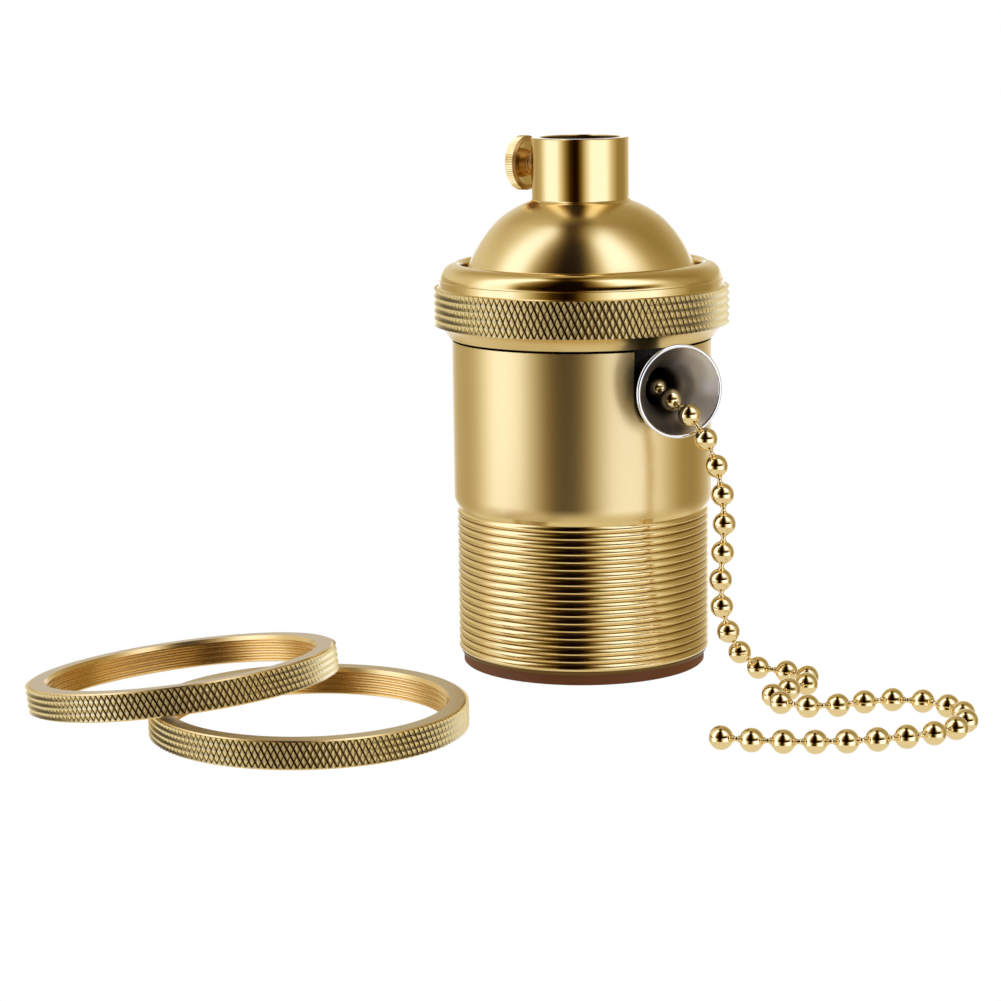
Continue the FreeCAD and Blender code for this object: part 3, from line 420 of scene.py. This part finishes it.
def cap():
    """Flange, dome in two curves, and the neck with its inner thread."""
    low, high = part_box("cap")
    edge, foot, top = high.x, low.z, high.z
    wall, flange = 1.0 * MM, 1.0 * MM
    dome, shoulder = 17.7 * MM, 12.5 * MM
    rise, neck_foot = foot + 10.2 * MM, 70.1 * MM
    neck, bore = 7.33 * MM, 6.0 * MM
    side, crown = 18.5 * MM, 14.95 * MM
    lip = 0.15 * MM
    inner_shoulder, inner_rise = shoulder - wall * 0.75, rise - wall * 0.7
    inner_neck = neck_foot - wall * 0.7
    outline = [(dome - wall, foot), (edge, foot), (edge, foot + flange), (dome, foot + flange)]
    outline += arc((dome, foot + flange), (shoulder, rise), side, 18)
    outline += arc((shoulder, rise), (neck + 0.3 * MM, neck_foot - 0.1 * MM), crown, 12)
    outline += [(neck, neck_foot + 0.25 * MM), (neck, top - lip), (neck - lip, top),
                (bore + lip, top), (bore, top - lip)]
    thread = ridged(neck_foot, top - 0.4 * MM, bore + NECK_THREAD[0], *NECK_THREAD)
    outline += list(reversed(thread))
    outline += [(bore, inner_neck)]
    outline += arc((bore, inner_neck), (inner_shoulder, inner_rise), -crown, 8)
    outline += arc((inner_shoulder, inner_rise), (dome - wall, foot + flange), -side, 8)
    thing = lathe("cap_look", outline, POLISHED_GOLD)
    # Painted shade inside the neck's bore.
    paint(thing, RECESS_SHADE_GOLD, lambda r, z: r < bore + 0.1 * MM and z < top - lip)
    paint(thing, DOME_GOLD, lambda r, z: z < neck_foot and r > neck)
    stand_for(thing, "holder", "gold_metal", "cap")


def clamp_screw():
    """Its axis runs from the neck's axis through the middle of its box."""
    points = points_of("neck_clamp_screw")
    centre = box_centre("neck_clamp_screw")
    along = Vector((centre.x, centre.y, 0)).normalized()
    reach = points @ np.array(along)
    start, end = reach.min(), reach.max()
    head, shank = 4.1 * MM, 1.95 * MM
    thick, edge = 1.9 * MM, 0.3 * MM
    length = end - start
    face = length - thick
    outline = [(0.0, 0.0), (shank - edge, 0.0), (shank, edge)]
    outline += ridged(edge * 2, face, shank, *SCREW_THREAD)
    outline += [(shank, face + 0.5 * MM), (head - 0.8 * MM, face + 0.1 * MM),
                (head - 0.5 * MM, face), (head - 0.1 * MM, face + edge),
                (head - 0.12 * MM, length - edge), (head - 0.5 * MM, length),
                (0.0, length)]
    body = lathe("clamp_screw_look", outline, POLISHED_GOLD, SCREW_SEGMENTS, closed=False)
    paint(body, SHADED_GOLD, lambda r, z: z < face + 0.2 * MM)
    rim = straight_knurl("clamp_screw_rim", head, face + edge, length - edge, SCREW_RIBS,
                         SCREW_KNURL)
    thing = join("clamp_screw_look", body, rim)
    across = Vector((-along.y, along.x, 0))
    turn = Matrix((across.cross(along), across, along)).transposed().to_4x4()
    thing.matrix_world = Matrix.Translation(along * start + Vector((0, 0, centre.z))) @ turn
    stand_for(thing, "clamp_screw", "gold_metal", "neck_clamp_screw")


# ---------------------------------------------------------------------------------------------
# Bell mouth
# ---------------------------------------------------------------------------------------------
PAINTED_SHADE_CHROME_BASE = (0.72, 0.70, 0.68)


def chrome_with_painted_shade(name, axis, shades, second=None):
    """Satin chrome with painted shade and painted light: its colour follows the place along an
    axis, shades being (place, colour).
    second is another (axis, shades), whose colours darken the first ones as more painted shade."""
    material = surface(name, PAINTED_SHADE_CHROME_BASE, 0.6, 0.4)
    nodes, links = material.node_tree.nodes, material.node_tree.links
    place = nodes.new("ShaderNodeTexCoord")
    split = nodes.new("ShaderNodeSeparateXYZ")
    links.new(place.outputs["Object"], split.inputs["Vector"])
    result = colour_ramp(nodes, links, split.outputs[axis], shades)
    if second:
        darker = colour_ramp(nodes, links, split.outputs[second[0]], second[1])
        mix = nodes.new("ShaderNodeMix")
        mix.data_type = "RGBA"
        mix.blend_type = "MULTIPLY"
        mix.inputs["Factor"].default_value = 1
        links.new(result, mix.inputs["A"])
        links.new(darker, mix.inputs["B"])
        result = mix.outputs["Result"]
    links.new(result, nodes["Principled BSDF"].inputs["Base Color"])
    return material


def bell_mouth():
    """Turned about +Z, which then points out of the slot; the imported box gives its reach."""
    low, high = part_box("bell_mouth")
    spread = 0.25 * MM
    mouth, end, start = (high.y - low.y) / 2 + spread, high.x, low.x
    throat, wall, rim = 2.6 * MM, 0.5 * MM, 0.3 * MM
    flare, bend = 18.0 * MM, 12.0 * MM
    shoulder, face = 3.9 * MM, 15.6 * MM
    outer_edge = (mouth - rim * 1.6, end - rim * 1.2)
    inner_edge = (mouth - rim * 1.9, end - rim * 0.6)
    outline = [(throat, start), (throat + wall, start), (throat + wall, face), (shoulder, face),
               (shoulder, face + 0.8 * MM), (throat + wall, face + 0.8 * MM),
               (throat + wall, flare)]
    outline += arc((throat + wall, flare), outer_edge, -bend, 16)
    inner_start = len(outline)
    outline += [inner_edge] + arc(inner_edge, (throat, flare), bend, 16)
    # In the piece's own axes +Z runs out of the mouth, and +Y across it from left to right as
    # the camera sees it.
    # Painted shade and painted light: the inside is dark on its left and deep in the throat and
    # light on its right; the outside is near-black where it sits in the slot and brightens
    # towards the rim.
    inside = chrome_with_painted_shade(
        "bell_inside_painted_shade", "Y",
        [(-mouth, (0.12, 0.10, 0.085)), (-1.5 * MM, (0.12, 0.10, 0.08)),
         (0.3 * MM, (0.32, 0.27, 0.23)), (1.8 * MM, (0.80, 0.74, 0.69)),
         (3.5 * MM, (0.97, 0.93, 0.90)), (mouth, (0.98, 0.95, 0.93))],
        ("Z", [(17.0 * MM, (0.01, 0.01, 0.01)), (19.0 * MM, (0.15, 0.14, 0.13)),
               (21.0 * MM, (0.8, 0.8, 0.8)), (23.0 * MM, (1, 1, 1)), (end, (1, 1, 1))]))
    outside = chrome_with_painted_shade(
        "bell_outside_painted_shade", "Z",
        [(start, (0.01, 0.008, 0.006)), (20.5 * MM, (0.012, 0.01, 0.008)),
         (22.5 * MM, (0.10, 0.09, 0.08)), (24.5 * MM, (0.5, 0.48, 0.46)),
         (end, (0.75, 0.73, 0.72))])
    body = lathe("bell_look", outline, outside, BELL_SEGMENTS)
    body.data.materials.append(inside)
    for face in body.data.polygons:
        face.material_index = int(face.index % len(outline) >= inner_start)
    steps = [2 * math.pi * step / 12 for step in range(12)]
    roll = [(mouth - rim + rim * math.cos(t), end - rim + rim * math.sin(t)) for t in steps]
    ring = lathe("bell_rim", roll, CHROME, BELL_SEGMENTS, sharp=60)
    thing = join("bell_look", body, ring)
    turn = Matrix.Rotation(math.radians(90), 4, "Y")
    thing.matrix_world = Matrix.Translation(Vector((0, BELL_Y, BELL_Z))) @ turn
    stand_for(thing, "holder", "chrome_plate", "bell_mouth")


# ---------------------------------------------------------------------------------------------
# Ball chain
# ---------------------------------------------------------------------------------------------
BEAD_RADIUS = 1.6 * MM
BEAD_SWELL = 1.05
LINK_RADIUS = 0.35 * MM
FOOT_RADIUS, FOOT_HEIGHT = 0.5 * MM, 0.2 * MM
# Where a link starts and where its foot is, from a bead's middle, as shares of its radius.
LINK_START, FOOT_PLACE = 0.9, 1.02
BEAD_SEGMENTS, BEAD_RINGS, LINK_SEGMENTS = 28, 20, 12
WELD = 0.002 * MM


def solids_of(node):
    """The middle of each separate solid of a node, in the order they were packed."""
    graph = bmesh.new()
    graph.from_mesh(NODES[node].data)
    bmesh.ops.remove_doubles(graph, verts=graph.verts, dist=WELD)
    seen, found = set(), []
    for vertex in graph.verts:
        if vertex in seen:
            continue
        stack, group = [vertex], []
        seen.add(vertex)
        while stack:
            here = stack.pop()
            group.append(here.co.copy())
            for edge in here.link_edges:
                other = edge.other_vert(here)
                if other not in seen:
                    seen.add(other)
                    stack.append(other)
        places = np.array(group)
        found.append(Vector((places.max(0) + places.min(0)) / 2))
    graph.free()
    return found


def chain():
    """Beads from the switch to the free end, with a link between each two. The beads are drawn
    larger than packed, and the lying ones are lifted so that they stay on the table."""
    beads = solids_of("pull_chain_beads")
    ordered = [min(beads, key=lambda place: (place.x, place.z))]
    rest = [place for place in beads if place is not ordered[0]]
    while rest:
        after = min(rest, key=lambda place: (place - ordered[-1]).length)
        rest.remove(after)
        ordered.append(after)
    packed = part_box("pull_chain_beads")[1].z - max(place.z for place in ordered)
    radius = max(packed, BEAD_RADIUS) * BEAD_SWELL
    ordered = [Vector((place.x, place.y, max(place.z, radius))) for place in ordered]
    balls, pins = bmesh.new(), bmesh.new()
    for place in ordered:
        bmesh.ops.create_uvsphere(balls, u_segments=BEAD_SEGMENTS, v_segments=BEAD_RINGS,
                                  radius=radius, matrix=Matrix.Translation(place))
    for first, last in zip(ordered, ordered[1:]):
        along = last - first
        turn = along.to_track_quat("Z", "Y").to_matrix().to_4x4()
        pin = Matrix.Translation((first + last) / 2) @ turn
        bmesh.ops.create_cone(pins, cap_ends=True, segments=LINK_SEGMENTS, radius1=LINK_RADIUS,
                              radius2=LINK_RADIUS, matrix=pin,
                              depth=along.length - radius * (2 * LINK_START))
        for end, side in ((first, 1), (last, -1)):
            place = end + along.normalized() * side * radius * FOOT_PLACE
            bmesh.ops.create_cone(pins, cap_ends=True, segments=LINK_SEGMENTS,
                                  radius1=FOOT_RADIUS, radius2=FOOT_RADIUS, depth=FOOT_HEIGHT,
                                  matrix=Matrix.Translation(place) @ turn)
    for name, graph, node in (("beads_look", balls, "pull_chain_beads"),
                              ("links_look", pins, "pull_chain_links")):
        mesh = bpy.data.meshes.new(name)
        graph.to_mesh(mesh)
        graph.free()
        mesh.shade_smooth()
        mesh.materials.append(BEAD_GOLD)
        thing = bpy.data.objects.new(name, mesh)
        bpy.context.scene.collection.objects.link(thing)
        stand_for(thing, "chain", "gold_metal", node)


# ---------------------------------------------------------------------------------------------
# Shade rings
# ---------------------------------------------------------------------------------------------
def shade_ring(node):
    """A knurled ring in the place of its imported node, leaning as the node's upper faces do."""
    upward = 0.8
    points = points_of(node)
    middle = (points.max(0) + points.min(0)) / 2
    axis = Vector((0, 0, 0))
    for face in NODES[node].data.polygons:
        if face.normal.z > upward:
            axis += face.normal * face.area
    axis.normalize()
    along = (points - middle) @ np.array(axis)
    height = along.max() - along.min()
    outer = np.linalg.norm(points - middle - np.outer(along, np.array(axis)), axis=1).max()
    bore = THREAD_RADIUS + 0.1 * MM
    chamfer, half = 0.4 * MM, height / 2
    foot = outer - RING_KNURL
    outline = [(bore + chamfer, -half), (foot - 0.1 * MM, -half), (foot, -half + 0.2 * MM),
               (foot - 0.1 * MM, -half + 0.3 * MM), (foot - 0.1 * MM, half - 0.3 * MM),
               (foot, half - 0.2 * MM), (foot - 0.15 * MM, half), (bore + chamfer, half)]
    thread = ridged(-half + chamfer * 0.6, half - chamfer * 0.5, bore + RING_THREAD[0],
                    *RING_THREAD)
    outline += list(reversed(thread))
    body = lathe(node + "_look", outline, RING_GOLD)
    # The inner thread takes the painted bounce light.
    paint(body, INNER_LIT_GOLD, lambda r, z: abs(z) < half - 0.05 * MM)
    knurl = knurl_band(node + "_knurl", outer, -half + 0.2 * MM, half - 0.2 * MM,
                       RING_PYRAMIDS, RING_ROWS, RING_KNURL)
    thing = join(node + "_look", body, knurl)
    turn = Vector((0, 0, 1)).rotation_difference(axis).to_matrix().to_4x4()
    thing.matrix_world = Matrix.Translation(Vector(middle)) @ turn
    stand_for(thing, "holder", "gold_metal", node)


# ---------------------------------------------------------------------------------------------
# Inner pieces keep their packed form
# ---------------------------------------------------------------------------------------------
INNER_SHARP = 35
INNER = (
    (BRASS, "contact_brass", (
        "screw_shell", "centre_contact", "contact_rivet", "live_terminal", "neutral_terminal",
        "contact_spring_live", "contact_spring_lamp", "rotor_contact")),
    (MOULDING, "brown_moulding", (
        "socket_base", "switch_housing", "switch_cover", "switch_rotor")),
    (STEEL, "plated_steel", (
        "housing_screws", "terminal_screws", "rotor_spindle", "ratchet_wheel", "pull_lever",
        "drive_pawl", "return_spring", "detent_spring")),
    (CHROME, "chrome_plate", ("bell_nut",)),
)


def inner_pieces():
    """Gives each inner piece its material and its sharp edges."""
    for material, slot, names in INNER:
        for name in names:
            thing = NODES[name]
            thing.data.materials.clear()
            thing.data.materials.append(material)
            thing.data.shade_smooth()
            thing.data.set_sharp_from_angle(angle=math.radians(INNER_SHARP))


# ---------------------------------------------------------------------------------------------
# Light and camera
# ---------------------------------------------------------------------------------------------
# Brightness of the room that the metal mirrors. LEVEL, HORIZON and RAISED are (bearing,
# brightness) at eye level, just above it and some 40 degrees up, with the bearing in degrees from
# the camera's side, positive to its right. OVERHEAD is the same by the place across the ceiling.
BRIGHTEST = 1.6
TABLE = 0.8
LEVEL = [
    (-180, 1.2), (-166, 1.15), (-154, 0.62), (-125, 0.5), (-108, 0.62), (-95, 1.05), (-85, 1.4),
    (-58, 1.4), (-46, 0.85), (-34, 0.28), (-24, 0.05), (-13, 0.006), (-5, 0.02), (3, 0.24),
    (12, 0.75), (26, 1.4), (62, 1.4), (80, 0.75), (98, 0.36), (122, 0.38), (146, 0.7),
    (164, 1.15), (180, 1.2),
]
HORIZON = [
    (-180, 0.8), (-105, 0.8), (-88, 1.4), (-66, 1.3), (-52, 0.15), (-32, 0.006), (44, 0.006),
    (58, 0.3), (72, 0.8), (90, 0.5), (120, 0.4), (180, 0.8),
]
RAISED = [
    (-180, 0.5), (-150, 0.5), (-110, 0.8), (-90, 1.5), (-72, 1.5), (-56, 0.5), (-40, 0.1),
    (-26, 0.006), (2, 0.006), (12, 0.2), (22, 0.7), (34, 1.4), (46, 1.55), (62, 1.5),
    (76, 0.95), (88, 0.5), (112, 0.34), (150, 0.42), (180, 0.5),
]
OVERHEAD = [(-1.0, 0.5), (-0.5, 0.55), (-0.36, 0.3), (-0.24, 0.05), (-0.1, 0.015),
            (0.02, 0.1), (0.14, 0.5), (1.0, 0.5)]
CEILING_WAY = (0.276, 0.961)    # ahead and right parts of the way across the ceiling

# Upward part of a direction between which each zone of the room turns into the next.
TABLE_FADE = (-0.52, -0.38)
HORIZON_FADE = (0.06, 0.10)
RAISED_FADE = (0.24, 0.62)
OVERHEAD_FADE = (0.93, 0.99)

WARMTH = (1.0, 1.25, 2.0)       # powers of the brightness that give red, green and blue


def feed(links, slot, amount):
    """Sets a socket to a number, or links another one to it."""
    if isinstance(amount, (int, float)):
        slot.default_value = amount
    else:
        links.new(amount, slot)


def calculate(nodes, links, operation, *amounts):
    """The result of a Math node on numbers or sockets."""
    node = nodes.new("ShaderNodeMath")
    node.operation = operation
    for slot, amount in zip(node.inputs, amounts):
        feed(links, slot, amount)
    return node.outputs[0]


def fade(nodes, links, value, start, end, first, second):
    """first below start, second beyond end, and a smooth change between."""
    share = nodes.new("ShaderNodeMapRange")
    share.interpolation_type = "SMOOTHSTEP"
    share.inputs["From Min"].default_value = start
    share.inputs["From Max"].default_value = end
    links.new(value, share.inputs["Value"])
    mix = nodes.new("ShaderNodeMix")
    links.new(share.outputs["Result"], mix.inputs["Factor"])
    feed(links, mix.inputs["A"], first)
    feed(links, mix.inputs["B"], second)
    return mix.outputs["Result"]


def brightness(nodes, links, value, stops):
    """A share of BRIGHTEST that follows a value through its stops, (value, brightness)."""
    return colour_ramp(nodes, links, value,
                       [(place, (bright / BRIGHTEST,) * 3) for place, bright in stops])


def surroundings():
    """A photographer's room, lighting the piece and mirrored in it: white boxes on both sides, a
    dark gap over the camera, a white background and a bright table. Its darker parts are warmer.
    The camera sees plain white instead."""
    world = bpy.data.worlds.new("studio")
    bpy.context.scene.world = world
    world.use_nodes = True
    nodes, links = world.node_tree.nodes, world.node_tree.links
    sky = nodes["Background"]
    place = nodes.new("ShaderNodeTexCoord")
    turned = nodes.new("ShaderNodeMapping")
    turned.inputs["Rotation"].default_value = (0, 0, math.radians(-CAMERA_BEARING))
    links.new(place.outputs["Generated"], turned.inputs["Vector"])
    split = nodes.new("ShaderNodeSeparateXYZ")
    links.new(turned.outputs["Vector"], split.inputs["Vector"])
    ahead, right, up = split.outputs
    around = calculate(nodes, links, "ARCTAN2", right, ahead)
    around = calculate(nodes, links, "DEGREES", around)
    across = calculate(nodes, links, "ADD",
                       calculate(nodes, links, "MULTIPLY", ahead, CEILING_WAY[0]),
                       calculate(nodes, links, "MULTIPLY", right, CEILING_WAY[1]))
    bright = brightness(nodes, links, around, LEVEL)
    for value, stops, zone in ((around, HORIZON, HORIZON_FADE), (around, RAISED, RAISED_FADE),
                               (across, OVERHEAD, OVERHEAD_FADE)):
        above = brightness(nodes, links, value, stops)
        bright = fade(nodes, links, up, *zone, bright, above)
    bright = fade(nodes, links, up, *TABLE_FADE, TABLE / BRIGHTEST, bright)
    bright = calculate(nodes, links, "MULTIPLY", bright, BRIGHTEST)
    colour = nodes.new("ShaderNodeCombineColor")
    for slot, power in zip(colour.inputs, WARMTH):
        links.new(calculate(nodes, links, "POWER", bright, power), slot)
    links.new(colour.outputs["Color"], sky.inputs["Color"])
    backdrop = nodes.new("ShaderNodeBackground")
    backdrop.inputs["Color"].default_value = (1, 1, 1, 1)
    show_white(nodes, links, sky.outputs["Background"], backdrop.outputs["Background"],
               nodes["World Output"])


def show_white(nodes, links, shader, white, output):
    """The camera sees the white shader, and everything else the other one."""
    path = nodes.new("ShaderNodeLightPath")
    mix = nodes.new("ShaderNodeMixShader")
    links.new(path.outputs["Is Camera Ray"], mix.inputs["Fac"])
    links.new(shader, mix.inputs[1])
    links.new(white, mix.inputs[2])
    links.new(mix.outputs["Shader"], output.inputs["Surface"])


def floor():
    """A table top that the camera sees as plain white. Metal mirrors the room's light in its
    place."""
    half, level = 1.5, -0.05 * MM
    material = surface("white_table", (0.9, 0.9, 0.9), 0, 0.6)
    nodes, links = material.node_tree.nodes, material.node_tree.links
    glow = nodes.new("ShaderNodeEmission")
    show_white(nodes, links, nodes["Principled BSDF"].outputs["BSDF"],
               glow.outputs["Emission"], nodes["Material Output"])
    thing = mesh_object("table_top", [(-half, -half, level), (half, -half, level),
                                      (half, half, level), (-half, half, level)],
                        [(0, 1, 2, 3)], material, smooth=False)
    thing.visible_glossy = False


def camera():
    """Stands at its bearing, faces the holder's axis, and is then turned, tilted and rolled."""
    view = bpy.data.cameras.new("camera")
    view.lens = CAMERA_LENS
    view.sensor_width = CAMERA_SENSOR
    view.clip_start = CAMERA_NEAR
    thing = bpy.data.objects.new("camera", view)
    bpy.context.scene.collection.objects.link(thing)
    bearing = math.radians(CAMERA_BEARING)
    out = Vector((math.cos(bearing), math.sin(bearing), 0))
    right = Vector((-out.y, out.x, 0))
    turn, tilt = math.radians(CAMERA_TURN_LEFT), math.radians(CAMERA_TILT_DOWN)
    level = -out * math.cos(turn) - right * math.sin(turn)
    side = right * math.cos(turn) - out * math.sin(turn)
    ahead = level * math.cos(tilt) - Vector((0, 0, 1)) * math.sin(tilt)
    up = side.cross(ahead)
    roll = math.radians(CAMERA_ROLL)
    across = side * math.cos(roll) - up * math.sin(roll)
    upright = side * math.sin(roll) + up * math.cos(roll)
    place = Matrix((across, upright, -ahead)).transposed().to_4x4()
    thing.matrix_world = Matrix.Translation(
        out * CAMERA_DISTANCE + Vector((0, 0, CAMERA_HEIGHT))) @ place
    bpy.context.scene.camera = thing


shell()
liner()
collar()
cap()
clamp_screw()
bell_mouth()
chain()
shade_ring("shade_ring_flat")
shade_ring("shade_ring_leaning")
inner_pieces()
surroundings()
floor()
camera()
bpy.context.scene.view_settings.view_transform = "Standard"
